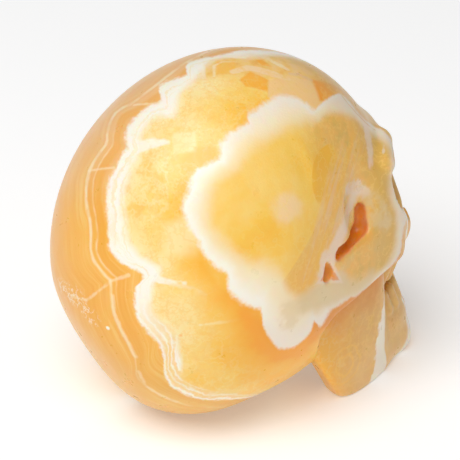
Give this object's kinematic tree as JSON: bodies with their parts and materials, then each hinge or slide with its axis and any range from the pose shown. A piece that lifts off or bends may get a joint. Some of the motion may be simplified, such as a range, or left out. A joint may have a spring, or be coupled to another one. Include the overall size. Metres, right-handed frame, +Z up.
{
  "type": "calcite skull carving",
  "caption": "Polished banded orange calcite carved as a human skull, with eye sockets, nose, teeth and lower jaw, standing on flats under the jaw and the braincase.",
  "frame": {"origin": "centre of the box's base, on the surface that the carving stands on", "axes": "+Z up, +X to the skull's left, +Y towards the back of the head, so the face looks along -Y"},
  "size_m": [0.0905, 0.1191, 0.1114],
  "materials": {
    "calcite": "polished"
  },
  "bodies": {
    "root": {"skull": "calcite"}
  },
  "joints": []
}
